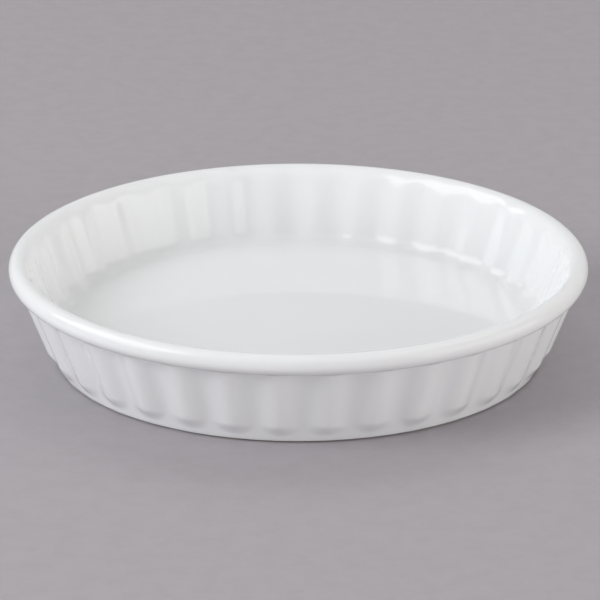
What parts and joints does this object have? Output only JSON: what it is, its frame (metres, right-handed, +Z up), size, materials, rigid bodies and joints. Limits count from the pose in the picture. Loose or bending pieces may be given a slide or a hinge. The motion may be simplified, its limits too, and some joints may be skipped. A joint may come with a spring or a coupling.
{
  "type": "creme brulee dish",
  "caption": "Round, shallow fluted dish of white glazed porcelain with a rounded rim, a flat floor and a bare foot ring, for baking and serving creme brulee.",
  "frame": {"origin": "middle of the base, on the surface that the foot ring stands on", "axes": "+Z up along the axis of the dish, with one lobe of the wall facing -Y"},
  "size_m": [0.1248, 0.125, 0.0224],
  "materials": {
    "bare_porcelain": "bare fired porcelain, matt, only seen under the foot ring",
    "white_glaze": "glossy white glaze",
    "underside_glaze": "glossy white glaze"
  },
  "bodies": {
    "root": {"porcelain_body": "bare_porcelain", "glaze_coat": "white_glaze", "base_glaze": "underside_glaze"}
  },
  "joints": []
}
